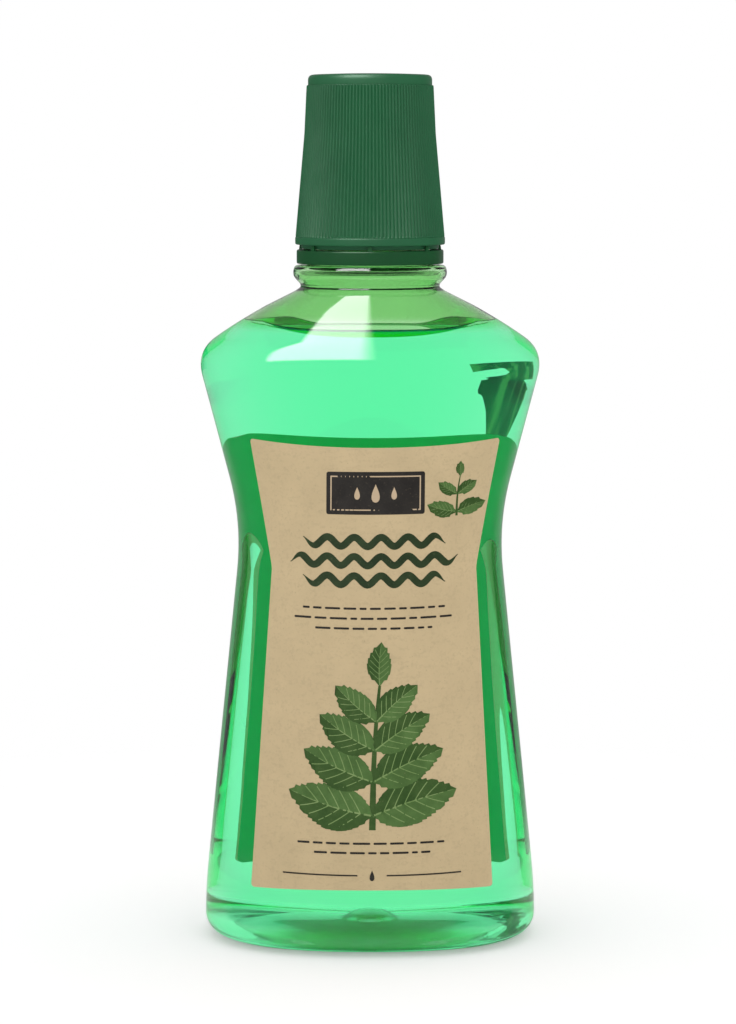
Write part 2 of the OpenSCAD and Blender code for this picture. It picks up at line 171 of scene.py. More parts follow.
# Labels: side of the bottle, edge as height and half width, rise of the upper corners and drop of
# the lower ones, and how far each label sits to its reader's right at its foot and at its top
FRONT = (-1, [(16.8, 29.3), (93.8, 24.6), (123.4, 30)], (1.4, 0.9), (0.45, 1.2))
BACK = (1, [(16.8, 22.9), (93.8, 14.2), (121.8, 20.7)], (4.3, 4), (-0.2, -0.2))
LABEL_CORNER = 0.8
# How far a label's glue side, its paper and its ink lie off the bottle's skin
GLUE, PAPER, INK = -0.04, 0.22, 0.28
LABEL_ROWS, LABEL_ACROSS, CORNER_STEPS = 80, 81, 8
INK_LINE, WAVE_H, WAVE_PITCH, LEAF_VEINS = 0.3, 1.1, 6.4, 5


def curve(t, power):
    return np.sign(t) * np.abs(t) ** (2 / power)


def bend(before, at, after, steps=ROUND_STEPS):
    """A corner as a curve from one point to another that leans on the corner."""
    shares = np.linspace(0, 1, steps + 1)
    return [before * (1 - t) ** 2 + at * 2 * t * (1 - t) + after * t * t for t in shares]


def outline(inset, floor_h=0.0):
    """The body's stations from the foot to the neck, moved in by inset."""
    corners = CORNERS + inset * INSETS
    corners[:2, 0] += floor_h
    stations = []
    for before, at, after, (low, high) in zip(corners, corners[1:], corners[2:], ROUNDS):
        stations += bend(at + (before - at) * low, at, at + (after - at) * high)
    return stations


def dense(stations):
    """The same stations with more of them where two are far apart."""
    made = [stations[0]]
    for a, b in zip(stations, stations[1:]):
        n = max(1, math.ceil(abs(b[0] - a[0]) / RING_GAP))
        made += [a + (b - a) * k / n for k in range(1, n + 1)]
    return made


def floor_stations(floor_h):
    rings = [(floor_h + up, r, r, 2) for r, up in PIP]
    rings += [(floor_h + PUSH_UP_H * up, LAND[1] * out, LAND[2] * out, LAND[3]) for out, up in PUSH_UP]
    return [np.array(r) for r in rings] + [LAND + (floor_h, 0, 0, 0)]


def section(station):
    """A ring of points round the body at a station, whose numbers may differ from point to point."""
    height, half_width, half_depth, power = station
    t = np.linspace(0, 2 * math.pi, AROUND, endpoint=False)
    x, y = half_width * curve(np.cos(t), power), half_depth * curve(np.sin(t), power)
    return np.column_stack([x, y, height + np.zeros(AROUND)])


def soft(profile):
    """Radius and height along a profile whose corners are rounded."""
    points = [np.array(p[:2], float) for p in profile]
    made = [points[0]]
    for k in range(1, len(profile) - 1):
        made += soft_corner(points[k - 1], points[k], points[k + 1], profile[k][2])
    return made + [points[-1]]


def soft_loop(profile):
    """The same for a profile that closes on itself."""
    points = [np.array(p[:2], float) for p in profile]
    made = []
    for k, p in enumerate(profile):
        made += soft_corner(points[k - 1], points[k], points[(k + 1) % len(points)], p[2])
    return made


def soft_corner(before, at, after, reach):
    back, on = before - at, after - at
    start = at + back * min(0.49, reach / np.linalg.norm(back))
    end = at + on * min(0.49, reach / np.linalg.norm(on))
    return bend(start, at, end, PROFILE_STEPS)


def turned(radius, height, count=AROUND):
    """A circle of points. The radius is one number or one for each point."""
    t = np.linspace(0, 2 * math.pi, count, endpoint=False)
    return np.column_stack([radius * np.cos(t), radius * np.sin(t), np.full(count, height)])


def thread_rise(height, turns, low_h, low_turn):
    """How far a thread stands off its wall round a ring at this height."""
    share = np.linspace(0, 1, AROUND, endpoint=False) - low_turn
    rise = np.zeros(AROUND)
    for k in range(3):
        s = share + k
        fade = np.clip(np.minimum(s, turns - s) / FADE_SHARE, 0, 1)
        off = np.abs(height - low_h - THREAD_LEAD * s)
        flank = np.clip((THREAD_W / 2 - off) / (THREAD_W * (0.5 - CREST_SHARE)), 0, 1)
        rise = np.maximum(rise, THREAD_DEPTH * fade * flank * flank * (3 - 2 * flank))
    return rise


def threaded(profile, wall_r, side, thread):
    """Rings for a profile, with dense ones and a thread where it runs up or down its threaded wall."""
    low, high = THREAD_ZONE
    rings = []
    for a, b in zip(profile, profile[1:]):
        rings.append(turned(a[0], a[1]))
        if abs(a[0] - wall_r) < 0.01 and abs(b[0] - wall_r) < 0.01 and abs(b[1] - a[1]) > high - low:
            levels = np.arange(low, high, THREAD_STEP)
            for z in levels if b[1] > a[1] else levels[::-1]:
                rings.append(turned(wall_r + side * thread_rise(z, *thread), z))
    return rings + [turned(*profile[-1])]


def skin(rings, start=None, end=None, closed=False):
    """Points and faces through rings of equal count, closed or with a middle point at each end."""
    count = len(rings[0])
    points = [tuple(p) for ring in rings for p in ring]
    faces = []
    pairs = [(k, k + 1) for k in range(len(rings) - 1)] + ([(len(rings) - 1, 0)] if closed else [])
    for a, b in pairs:
        for i in range(count):
            j = (i + 1) % count
            faces.append((a * count + i, a * count + j, b * count + j, b * count + i))
    if start is not None:
        points.append(start)
        faces += [(len(points) - 1, (i + 1) % count, i) for i in range(count)]
    if end is not None:
        last = (len(rings) - 1) * count
        points.append(end)
        faces += [(len(points) - 1, last + i, last + (i + 1) % count) for i in range(count)]
    return points, faces


def piece(name, shells, body, node, materials, smooth_angle=35, slots=None):
    """One mesh object from shells of points and faces, riding on its body in place of its CAD node."""
    points, faces = [], []
    for shell_points, shell_faces in shells:
        faces += [tuple(len(points) + i for i in face) for face in shell_faces]
        points += shell_points
    mesh = bpy.data.meshes.new(name)
    mesh.from_pydata([tuple(MM * c for c in p) for p in points], [], faces)
    for m in materials:
        mesh.materials.append(m)
    if slots is not None:
        mesh.polygons.foreach_set("material_index", slots)
    work = bmesh.new()
    work.from_mesh(mesh)
    bmesh.ops.recalc_face_normals(work, faces=work.faces)
    work.to_mesh(mesh)
    work.free()
    mesh.shade_smooth()
    mesh.set_sharp_from_angle(angle=math.radians(smooth_angle))
    made = bpy.data.objects.new(name, mesh)
    bpy.context.scene.collection.objects.link(made)
    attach(made, body)
    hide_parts(node)
    return made


# Materials


class Shader:
    """A node material with its Principled shader and short ways to add nodes."""

    def __init__(self, name, **values):
        self.material = bpy.data.materials.new(name)
        self.material.use_nodes = True
        self.tree = self.material.node_tree
        self.main = self.tree.nodes["Principled BSDF"]
        self.output = self.tree.nodes["Material Output"]
        self.place = self.add("TexCoord").outputs["Object"]
        for socket, value in values.items():
            self.main.inputs[socket.replace("_", " ")].default_value = value

    def add(self, kind, settings=(), **inputs):
        node = self.tree.nodes.new("ShaderNode" + kind)
        for key, value in dict(settings).items():
            setattr(node, key, value)
        for key, value in inputs.items():
            self.put(node.inputs[key.replace("_", " ")], value)
        return node

    def put(self, socket, value):
        if isinstance(value, bpy.types.NodeSocket):
            self.tree.links.new(value, socket)
        else:
            socket.default_value = value

    def noise(self, scale, detail=3.0, roughness=0.5, stretch=(1, 1, 1)):
        place = self.add("Mapping", Vector=self.place, Scale=stretch).outputs[0]
        node = self.add("TexNoise", Vector=place, Scale=scale, Detail=detail, Roughness=roughness)
        return node.outputs["Fac"]

    def ramp(self, value, *stops):
        node = self.add("ValToRGB", Fac=value)
        points = node.color_ramp.elements
        while len(points) < len(stops):
            points.new(0.5)
        for point, (at, colour) in zip(points, stops):
            point.position = at
            point.color = (*colour, 1) if len(colour) == 3 else colour
        return node.outputs["Color"]

    def mix(self, share, a, b, blend="MIX"):
        node = self.add("Mix", {"data_type": "RGBA", "blend_type": blend})
        self.put(node.inputs["Factor"], share)
        self.put(node.inputs[6], (*a, 1) if isinstance(a, tuple) else a)
        self.put(node.inputs[7], (*b, 1) if isinstance(b, tuple) else b)
        return node.outputs[2]

    def maths(self, operation, a, b=0.0):
        node = self.add("Math", {"operation": operation})
        self.put(node.inputs[0], a)
        self.put(node.inputs[1], b)
        return node.outputs[0]

    def smooth(self, value, low, high):
        """0 below low and 1 above high, with a soft rise between them."""
        settings = {"interpolation_type": "SMOOTHSTEP"}
        return self.add("MapRange", settings, Value=value, From_Min=low, From_Max=high).outputs[0]

    def blend(self, share, a, b):
        """The surface shader a, or b where share is 1."""
        node = self.add("MixShader", Fac=share)
        self.tree.links.new(a, node.inputs[1])
        self.tree.links.new(b, node.inputs[2])
        self.tree.links.new(node.outputs[0], self.output.inputs["Surface"])

    def colour(self, value):
        self.put(self.main.inputs["Base Color"], value)

    def bump(self, height, distance, strength):
        node = self.add("Bump", Height=height, Distance=distance, Strength=strength)
        self.tree.links.new(node.outputs[0], self.main.inputs["Normal"])


def grey(v):
    return (v, v, v)


PLASTIC_IOR, LIQUID_IOR, CAP_IOR, PAPER_IOR = 1.575, 1.333, 1.49, 1.45
# How much of the usual reflection is left where plastic and liquid touch, at the liquid's edge and on
# the foot's finely textured underside
WET_SHINE, EDGE_SHINE, FOOT_SHINE = 0.13, 0.2, 0.3
FOOT_ROUGHNESS = 0.3
# Shares of the height between which the plastic's tint goes from clear, where it is wet, to lime
WET_TOP, DRY_FROM = 0.708, 0.716
DYE, DYE_DENSITY = (0.02, 0.99, 0.62, 1), 32.0


def bottle_plastic(name, shine, roughness=0.0):
    """Clear plastic, lime above the liquid's level. Its inner wall shines less where it is wet."""
    s = Shader(name, Transmission_Weight=1.0, IOR=PLASTIC_IOR, Roughness=roughness)
    s.put(s.main.inputs["Specular Tint"], (*grey(shine), 1))
    height = s.add("SeparateXYZ", Vector=s.place).outputs["Z"]
    tint = s.ramp(
        s.maths("DIVIDE", height, TOTAL_H * MM),
        (0.0, (0.9, 0.985, 0.93)),
        (WET_TOP, (0.93, 0.99, 0.95)),
        (DRY_FROM, (0.47, 0.79, 0.43)),
        (1.0, (0.42, 0.76, 0.38)),
    )
    s.colour(s.mix(s.noise(18, 2), tint, (0.97, 1, 0.97), "MULTIPLY"))
    s.bump(s.noise(34, 2), 0.0006, 0.12)
    return s.material


def mouthwash_liquid(name, shine, tint=(1.0, 1.0, 1.0)):
    """Clear green liquid. Its edge, which climbs the wall, gathers light from deeper down: that look is
    painted shade, a darker tint multiplied into its colour.
    """
    s = Shader(name, Transmission_Weight=1.0, IOR=LIQUID_IOR, Roughness=0.0)
    s.put(s.main.inputs["Specular Tint"], (*grey(shine), 1))
    haze = s.ramp(s.noise(25, 2), (0.0, (0.97, 1, 0.985)), (1.0, (1, 1, 1)))
    s.colour(s.mix(1.0, haze, tint, "MULTIPLY"))
    dye = s.add("VolumeAbsorption", Color=DYE, Density=DYE_DENSITY)
    s.tree.links.new(dye.outputs[0], s.output.inputs["Volume"])
    return s.material


def cap_plastic(name, deep, light, roughness):
    """Dyed plastic with faint flow marks and a satin tooth."""
    s = Shader(name, IOR=CAP_IOR, Specular_IOR_Level=0.35)
    s.colour(s.mix(s.noise(90, 4), deep, light))
    tooth = s.ramp(s.noise(260, 3), (0.3, grey(roughness)), (0.7, grey(roughness + 0.09)))
    s.put(s.main.inputs["Roughness"], tooth)
    s.bump(s.noise(1400, 3), 0.00006, 0.35)
    return s.material


def kraft(name):
    """Brown paper with fibres, flecks and a soft tooth."""
    s = Shader(name, Roughness=0.85, IOR=PAPER_IOR, Specular_IOR_Level=0.25)
    cloud = s.noise(90, 4, 0.6)
    grain = s.noise(1500, 4, 0.6)
    along = s.noise(700, 5, 0.65, (0.35, 1, 1.3))
    fibres = s.maths("MULTIPLY", s.maths("ADD", along, grain), 0.5)
    pale, dark, fleck = (tuple(t * c for c in KRAFT_TONE) for t in (1.08, 0.86, 0.5))
    base = s.mix(s.ramp(cloud, (0.35, grey(0)), (0.65, grey(1))), KRAFT_TONE, pale)
    base = s.mix(s.ramp(fibres, (0.5, grey(0)), (0.62, grey(0.5))), base, dark)
    flecks = s.add("TexVoronoi", Vector=s.place, Scale=620.0).outputs["Distance"]
    base = s.mix(s.ramp(flecks, (0.05, grey(0.3)), (0.11, grey(0))), base, fleck)
    s.colour(base)
    s.bump(fibres, 0.0001, 0.35)
    return s.material


def glue_side(name):
    """The paper's glue side, with a soft mottle. Its green colour is painted light, standing for the light
    that reaches it through the liquid, and its weak glow is painted light that comes through the paper."""
    s = Shader(name, Roughness=0.6, IOR=PAPER_IOR, Specular_IOR_Level=0.1)
    # Painted light: a green glow for the light that comes through the paper, on a green colour for the
    # light through the liquid
    s.put(s.main.inputs["Emission Color"], (0.01, 1, 0.42, 1))
    s.put(s.main.inputs["Emission Strength"], GLUE_PAINTED_GLOW)
    s.colour(s.mix(s.noise(160, 4, 0.6), (0.14, 0.8, 0.42), (0.22, 0.9, 0.52)))
    s.bump(s.noise(500, 4), 0.00005, 0.3)
    return s.material


def ink(name, deep, light):
    """Printed colour, a little uneven where the paper's fibres show."""
    s = Shader(name, Roughness=0.7, IOR=PAPER_IOR, Specular_IOR_Level=0.3)
    wash = s.mix(s.ramp(s.noise(220, 4, 0.6), (0.35, grey(0)), (0.65, grey(1))), deep, light)
    worn = s.ramp(s.noise(1500, 4, 0.7), (0.6, grey(0)), (0.8, grey(0.15)))
    s.colour(s.mix(worn, wash, KRAFT_TONE))
    s.bump(s.noise(1000, 5, 0.65), 0.0001, 0.4)
    return s.material


KRAFT_TONE = (0.65, 0.505, 0.295)
# Strength of the glue side's painted glow, which stands for light that comes through the paper
GLUE_PAINTED_GLOW = 0.17
INKS = {
    "dark": ((0.024, 0.02, 0.017), (0.034, 0.029, 0.024)),
    "moss": ((0.02, 0.045, 0.012), (0.034, 0.065, 0.02)),
    "kraft": ((0.62, 0.47, 0.3), (0.66, 0.5, 0.33)),
    "deep": ((0.036, 0.095, 0.014), (0.06, 0.13, 0.025)),
    "leaf": ((0.075, 0.16, 0.035), (0.11, 0.22, 0.055)),
    "pale": ((0.2, 0.33, 0.1), (0.28, 0.4, 0.15)),
}


# Print: polygons in label millimetres, x to the reader's right and z up


def ribbon(path, width):
    """A line of even width along points, as a polygon."""
    path = np.array(path, float)
    along = np.gradient(path, axis=0)
    along /= np.linalg.norm(along, axis=1)[:, None]
    side = np.column_stack([-along[:, 1], along[:, 0]]) * np.reshape(width, (-1, 1)) / 2
    return [tuple(p) for p in np.concatenate([path + side, (path - side)[::-1]])]


def box(x, z, w, h, corner=0.5):
    """A box with round corners, about its middle."""
    points = []
    for k, (sx, sz) in enumerate([(1, 1), (-1, 1), (-1, -1), (1, -1)]):
        for t in np.linspace(0, math.pi / 2, 4):
            a = t + k * math.pi / 2
            middle_x, middle_z = x + sx * (w / 2 - corner), z + sz * (h / 2 - corner)
            points.append((middle_x + corner * math.cos(a), middle_z + corner * math.sin(a)))
    return points


def frame_line(x, z, w, h):
    """A box drawn as a thin line, in four bars."""
    bars = [(x, z + side * h / 2, w + INK_LINE, INK_LINE) for side in (1, -1)]
    bars += [(x + side * w / 2, z, INK_LINE, h - INK_LINE) for side in (1, -1)]
    return [("kraft", box(*b, corner=0.01)) for b in bars]


def drop(x, z, h):
    """A water drop of this height."""
    t = np.linspace(0, 2 * math.pi, 28, endpoint=False)
    r = 0.5 * h * 0.62
    return [(x + r * math.sin(a) * math.sin(a / 2) ** 1.4, z + 0.5 * h * math.cos(a)) for a in t]


def wave(z, length, width):
    """A line of ripples across the middle."""
    s = np.linspace(-length / 2, length / 2, round(length * 4))
    fade = np.clip((length / 2 - np.abs(s)) / 3, 0.12, 1)
    return ribbon(np.column_stack([s, z + WAVE_H * np.sin(2 * math.pi * s / WAVE_PITCH)]), width * fade)


def leaf(foot, angle, length, width):
    """A toothed leaf from its foot: a dark and a lighter half, a middle rib and side veins."""
    a = math.radians(angle)
    along, side = np.array([math.cos(a), math.sin(a)]), np.array([-math.sin(a), math.cos(a)])
    foot = np.array(foot, float)

    def half_width(t):
        return 0.5 * width * math.sin(math.pi * t ** 0.78) ** 0.85

    def rib(t):
        return foot + along * length * t + side * width * 0.06 * math.sin(math.pi * t)

    edge = []
    teeth = max(5, round(length / 1.25))
    for k in range(teeth):
        t = (k + 0.05) / teeth
        tip = min(1, (k + 0.95) / teeth)
        edge += [(t, half_width(t)), (tip, half_width(min(0.995, t + 0.35 / teeth)) + 0.02 * width)]
    drawn = []
    for tone, sign in (("deep", 1), ("leaf", -1)):
        rim = [rib(t) + side * sign * w for t, w in edge if t < 0.97]
        back = [rib(t) for t in np.linspace(0.95, 0.05, 12)]
        drawn.append((tone, [tuple(p) for p in (rib(0), *rim, rib(1), *back)]))
    line = 0.035 * width
    ribs = np.linspace(0.02, 0.96, 16)
    drawn.append(("pale", ribbon([rib(t) for t in ribs], line * (1.2 - ribs))))
    for k in range(LEAF_VEINS):
        t = 0.14 + 0.62 * k / LEAF_VEINS
        for sign in (1, -1):
            reach = half_width(min(0.98, t + 0.16)) * 0.82
            ends = [rib(t), rib(t + 0.09) + side * sign * reach * 0.55, rib(t + 0.19) + side * sign * reach]
            drawn.append(("pale", ribbon(bend(*ends, steps=5), line * 0.55)))
    return drawn


def sprig(foot, height, lean, pairs, size):
    """A stem with pairs of leaves that grow smaller upwards, and one at its tip."""
    foot = np.array(foot, float)
    stem = bend(foot, foot + (0, height * 0.6), foot + (lean, height), 24)
    drawn = [("deep", ribbon(stem, np.linspace(0.075, 0.03, 25) * size))]
    for k in range(pairs):
        at = stem[round(2 + 20 * k / pairs)]
        share = 1 - 0.5 * k / pairs
        spread = 16 + 34 * k / pairs
        drawn += leaf(at, spread, size * share, size * share * 0.52)
        drawn += leaf(at, 180 - spread, size * share, size * share * 0.52)
    return drawn + leaf(stem[-1], 88, size * 0.5, size * 0.27)


def dashes(z, half_width, seed):
    """A row of fine dashes that stands for a line of small print."""
    pick = np.random.default_rng(seed)
    drawn, x = [], -half_width
    while x < half_width - 1:
        w = min(pick.uniform(1.4, 4.2), half_width - x)
        drawn.append(("dark", box(x + w / 2, z, w, 0.5, corner=0.2)))
        x += w + 0.8
    return drawn


def front_print():
    drawn = [("dark", box(0.2, 112.6, 23.4, 10.2))]
    drawn += frame_line(0.2, 112.6, 21.2, 8)
    drawn += [("kraft", drop(0.2 + x, 112.6, h)) for x, h in ((-4.4, 3), (0, 4.4), (4.4, 3))]
    drawn += sprig((19.6, 106.6), 9.6, 0.8, 2, 7.4)
    drawn += [("moss", wave(z, w, 1.7)) for z, w in ((101, 34), (96.4, 40), (91.8, 34))]
    drawn += dashes(85, 17, 3) + dashes(82.6, 19, 4) + dashes(80.2, 14, 5)
    drawn += sprig((0, 31.5), 35, 1.5, 4, 21)
    drawn += dashes(28.2, 18, 6) + dashes(25.9, 14, 7)
    drawn += [("dark", box(-12.5, 20.4, 18, 0.35, 0.1)), ("dark", box(12.5, 20.4, 18, 0.35, 0.1))]
    return drawn + [("dark", drop(0, 20.4, 2.6))]


def back_print():
    drawn = [("dark", box(0, 114.6, 24, 6.6))] + frame_line(0, 114.6, 22.2, 4.8)
    drawn += [("dark", wave(107, 27, 1.0))]
    for k in range(28):
        z = 101.6 - 2.4 * k - 3.6 * (k // 7)
        half_width = np.interp(z, (18, 93.8, 122), (19.6, 11.6, 16.6))
        drawn += dashes(z, half_width - (k % 7 == 6) * 5, 20 + k)
    drawn += [("dark", drop(x, 21, 3.6)) for x in (-6, 0, 6)]
    return drawn


# Labels


def depth(x, z, off):
    """How far from the middle plane the bottle's front lies, moved out by off."""
    stations = np.array(outline(-off))
    half_width, half_depth, power = (np.interp(z, stations[:, 0], stations[:, i]) for i in (1, 2, 3))
    return half_depth * (1 - np.minimum(1, np.abs(x) / half_width) ** power) ** (1 / power)


def on_label(x, z, off, shape):
    """Points of a label's plan, as its reader sees it, laid on the bottle's front or back."""
    side, edge, _, (foot_shift, top_shift) = shape
    x = x + np.interp(z, (edge[0][0], edge[-1][0]), (foot_shift, top_shift))
    return np.column_stack([-side * x, side * depth(x, z, off), z])


def label_rows(edge):
    """Heights and half widths from the bottom edge up, with round corners."""
    heights, widths = zip(*edge)
    low, high = heights[0] + LABEL_CORNER, heights[-1] - LABEL_CORNER
    turns = np.linspace(0, math.pi / 2, CORNER_STEPS)
    rows = [(low - LABEL_CORNER * math.cos(t), LABEL_CORNER * (1 - math.sin(t))) for t in turns]
    rows += [(z, 0) for z in np.linspace(low, high, LABEL_ROWS)[1:]]
    rows += [(high + LABEL_CORNER * math.sin(t), LABEL_CORNER * (1 - math.cos(t))) for t in turns[1:]]
    return [(z, np.interp(z, heights, widths) - cut) for z, cut in rows]


def paper_shell(shape):
    """The label as a closed sheet, and a 1 for each face of its glue side."""
    _, edge, (arch, sag), _ = shape
    rows = label_rows(edge)
    (foot, waist, top), _ = zip(*edge)
    s = np.linspace(-1, 1, LABEL_ACROSS)
    sheets = []
    for off in (PAPER, GLUE):
        for z, half in rows:
            lift = np.interp(z, (foot, waist, top), (-sag, 0, arch))
            sheets.append(on_label(half * s, z + lift * s * s, off, shape))
    count = len(rows)
    rings = [np.concatenate([sheets[k], sheets[count + k][::-1]]) for k in range(count)]
    points, faces = skin(rings)
    across = 2 * LABEL_ACROSS
    glued = [int(LABEL_ACROSS <= i < across - 1) for _ in range(count - 1) for i in range(across)]
    for first in (0, (count - 1) * across):
        for j in range(LABEL_ACROSS - 1):
            faces.append((first + j, first + j + 1, first + across - 2 - j, first + across - 1 - j))
            glued.append(0)
    return points, faces, glued


def ink_shell(polygon, shape, off):
    """A printed shape, cut fine enough to follow the label."""
    work = bmesh.new()
    work.faces.new([work.verts.new((x, 0, z)) for x, z in polygon])
    bmesh.ops.triangulate(work, faces=work.faces)
    xs = [p[0] for p in polygon]
    for x in np.arange(math.ceil(min(xs)), max(xs), 1.0):
        everything = [*work.verts, *work.edges, *work.faces]
        bmesh.ops.bisect_plane(work, geom=everything, plane_co=(x, 0, 0), plane_no=(1, 0, 0), dist=1e-5)
    flat = np.array([v.co for v in work.verts])
    work.verts.index_update()
    points = [tuple(p) for p in on_label(flat[:, 0], flat[:, 2], off, shape)]
    faces = [tuple(v.index for v in f.verts) for f in work.faces]
    work.free()
    return points, faces


def label(name, node, shape, drawn, inks):
    """A paper label with its print."""
    points, faces, slots = paper_shell(shape)
    shells = [(points, faces)]
    names = list(INKS)
    for k, (tone, polygon) in enumerate(drawn):
        height = 0.4 + 0.6 * (k + 1) / len(drawn)
        shell = ink_shell(polygon, shape, PAPER + (INK - PAPER) * height)
        shells.append(shell)
        slots += [2 + names.index(tone)] * len(shell[1])
    papers = [kraft(name + "_kraft"), glue_side(name + "_glue_side")]
    return piece(name, shells, "bottle", node, [*papers, *inks], slots=slots)


# Pieces


def bottle():
    outside = dense(floor_stations(0) + outline(0))
    inside = dense(floor_stations(FLOOR_T) + outline(WALL, FLOOR_T))
    neck = threaded(soft(NECK_PROFILE), NECK_R, 1, NECK_THREAD)
    rings = [section(s) for s in outside] + neck + [section(s) for s in reversed(inside)]
    points, faces = skin(rings, (0, 0, PIP_H), (0, 0, PIP_H + FLOOR_T))
    first_inner = (len(outside) + len(neck)) * AROUND
    under = (len(PIP) + len(PUSH_UP)) * AROUND
    # Slot 0 is dry, 1 wet and 2 the foot's underside
    slots = []
    for face in faces:
        wet = min(face) >= first_inner and max(points[i][2] for i in face) < LEVEL
        foot = face[0] < under or len(face) == 3 and max(face[1:]) < AROUND
        slots.append(2 if foot else int(wet))
    plastics = [
        bottle_plastic("clear_pet", 1.0),
        bottle_plastic("clear_pet_wet", WET_SHINE),
        bottle_plastic("clear_pet_foot", FOOT_SHINE, FOOT_ROUGHNESS),
    ]
    return piece("bottle_shell", [(points, faces)], "bottle", "bottle", plastics, 50, slots)


def edge_heights():
    """Round the bottle, where the mouthwash's edge, darkened with painted shade, starts and where it ends
    on the wall.
    """
    around = np.linspace(0, 2 * math.pi, AROUND, endpoint=False)
    aside = np.abs(np.cos(around))
    front = np.sin(around) < 0
    step = np.clip((aside - TOP_BACK[0]) / (TOP_BACK[1] - TOP_BACK[0]), 0, 1)
    powers = (TOP_FRONT, FOOT_FRONT, FOOT_BACK)
    top_front, foot_front, foot_back = (factor * aside ** power for factor, power in powers)
    rise_front = np.minimum(CLIMB_SIDE, CLIMB_FRONT + top_front)
    rise_back = CLIMB_BACK + (CLIMB_SIDE - CLIMB_BACK) * step * step * (3 - 2 * step)
    rise = np.where(front, rise_front, rise_back)
    start = np.where(front, foot_front, foot_back) - EDGE_DROP
    return LEVEL + np.minimum(start, rise - EDGE_MIN), LEVEL + rise


def mouthwash():
    stations = dense(floor_stations(FLOOR_T - WET_INSET) + outline(WET_INSET, FLOOR_T - WET_INSET))
    wall = np.array(outline(WET_INSET))

    def on_wall(height):
        return section((height, *(np.interp(height, wall[:, 0], wall[:, i]) for i in (1, 2, 3))))

    low, high = edge_heights()
    rings = [section(s) for s in stations if s[0] < LEVEL - EDGE_DROP - 0.5]
    below = rings[-1][0][2]
    rings += [on_wall(below + (low - below) * t) for t in BELOW_STEPS]
    edge_start = len(rings) * AROUND
    rings += [on_wall(low + (high - low) * t) for t in EDGE_STEPS]
    edge = rings[-1]
    inward = -edge[:, :2] / np.linalg.norm(edge[:, :2], axis=1)[:, None]
    for reach in SURFACE_STEPS:
        flat = edge[:, :2] + inward * reach
        rings.append(np.column_stack([flat, LEVEL + (high - LEVEL) * math.exp(-reach / CLIMB_REACH)]))
    edge_end = edge_start + (len(EDGE_STEPS) - 1 + sum(r <= EDGE_REACH for r in SURFACE_STEPS)) * AROUND
    last = rings[-1]
    for share in MIDDLE_STEPS:
        rings.append(np.column_stack([last[:, :2] * share, np.full(AROUND, LEVEL)]))
    shell = skin(rings, (0, 0, PIP_H + FLOOR_T - WET_INSET), (0, 0, LEVEL))
    # Slot 0 is the side, 1 the surface, 2 the edge in front and 3 the edge behind, both edges tinted with
    # painted shade
    slots = [0] * edge_start
    slots += [2 if k % AROUND >= AROUND // 2 else 3 for k in range(edge_start, edge_end)]
    slots += [1] * ((len(rings) - 1) * AROUND - edge_end)
    slots += [0] * AROUND + [1] * AROUND
    liquids = [
        mouthwash_liquid("mouthwash_side", WET_SHINE),
        mouthwash_liquid("mouthwash_surface", 1.0),
        # The edges' tints are painted shade: darker and bluer in front, without red behind
        mouthwash_liquid("mouthwash_front_edge_shade", EDGE_SHINE, (0.02, 0.42, 1.0)),
        mouthwash_liquid("mouthwash_back_edge_shade", EDGE_SHINE, (0.02, 1.0, 1.0)),
    ]
    return piece("mouthwash_fill", [shell], "bottle", "mouthwash", liquids, 60, slots)


def ribbed_skin():
    """The cap's fine ribs, as a sleeve sunk into its core."""
    count = RIBS * RIB_POINTS
    groove = (0.5 - 0.5 * np.cos(2 * math.pi * np.arange(count) / RIB_POINTS)) ** GROOVE_POWER
    rings = [turned(r - RIB_DEPTH * share * groove, z, count) for r, z, share in RIB_LEVELS]
    for r, z, _ in (RIB_LEVELS[-1], RIB_LEVELS[0]):
        rings.append(turned(r - RIB_BACKING, z, count))
    return skin(rings, closed=True)


def dosing_cap():
    profile = soft(CAP_OUTSIDE)
    rings = threaded(profile[1:-1], CAP_BORE_R, -1, CAP_THREAD)
    core = skin(rings, (0, 0, profile[0][1]), (0, 0, profile[-1][1]))
    green = cap_plastic("cap_plastic", (0.018, 0.145, 0.055), (0.029, 0.182, 0.074), 0.36)
    return piece("dosing_cap_shell", [core, ribbed_skin()], "dosing_cap", "dosing_cap", [green], 40)


def bridge(turn):
    """A thin bridge of the tamper band, pinched where it tears."""
    t, w, h = BRIDGE_SIZE
    c, s = math.cos(turn), math.sin(turn)
    rings = []
    for share, up in BRIDGE_TAPER:
        ring = []
        for sx, sy in ((1, -1), (1, 1), (-1, 1), (-1, -1)):
            x, y = BRIDGE_R + sx * t / 2 * share, sy * w / 2 * share
            ring.append((x * c - y * s, x * s + y * c, BRIDGE_Z + h * up))
        rings.append(np.array(ring))
    return skin(rings, tuple(rings[0].mean(0)), tuple(rings[-1].mean(0)))


def tamper_band():
    ring = skin([turned(r, z) for r, z in soft_loop(BAND_PROFILE)], closed=True)
    bridges = [bridge(2 * math.pi * k / BRIDGES - math.pi / 2) for k in range(BRIDGES)]
    green = cap_plastic("band_plastic", (0.009, 0.092, 0.026), (0.014, 0.115, 0.035), 0.3)
    shells = [ring, *bridges]
    return piece("tamper_band_ring", shells, "tamper_band", "tamper_band", [green], 40)


# Stage


# The floor in metres, just under the foot: its radius, and between which reaches it fades away
FLOOR_R, FLOOR_Z, FLOOR_FADE = 0.6, -0.0001, (0.1, 0.28)
FLOOR_FILL = 0.3
# The world as it lights, and as it is reflected from the front and from behind, with where it changes
DIFFUSE_LIGHT, GLOSS_FRONT, GLOSS_BACK, GLOSS_TURN = 0.85, 0.06, 0.35, (0.6, 0.98)
# The lamp over the left shoulder, in metres: its ends, its widths there and which way its width lies
LAMP_NEAR, LAMP_FAR, LAMP_WIDTHS = (-0.189, -0.365, 0.384), (-0.122, 0.091, 1.156), (0.45, 0.3)
LAMP_ACROSS, LAMP_EDGE, LAMP_RADIANCE = (0.904, -0.416, 0.099), 0.05, 10.0
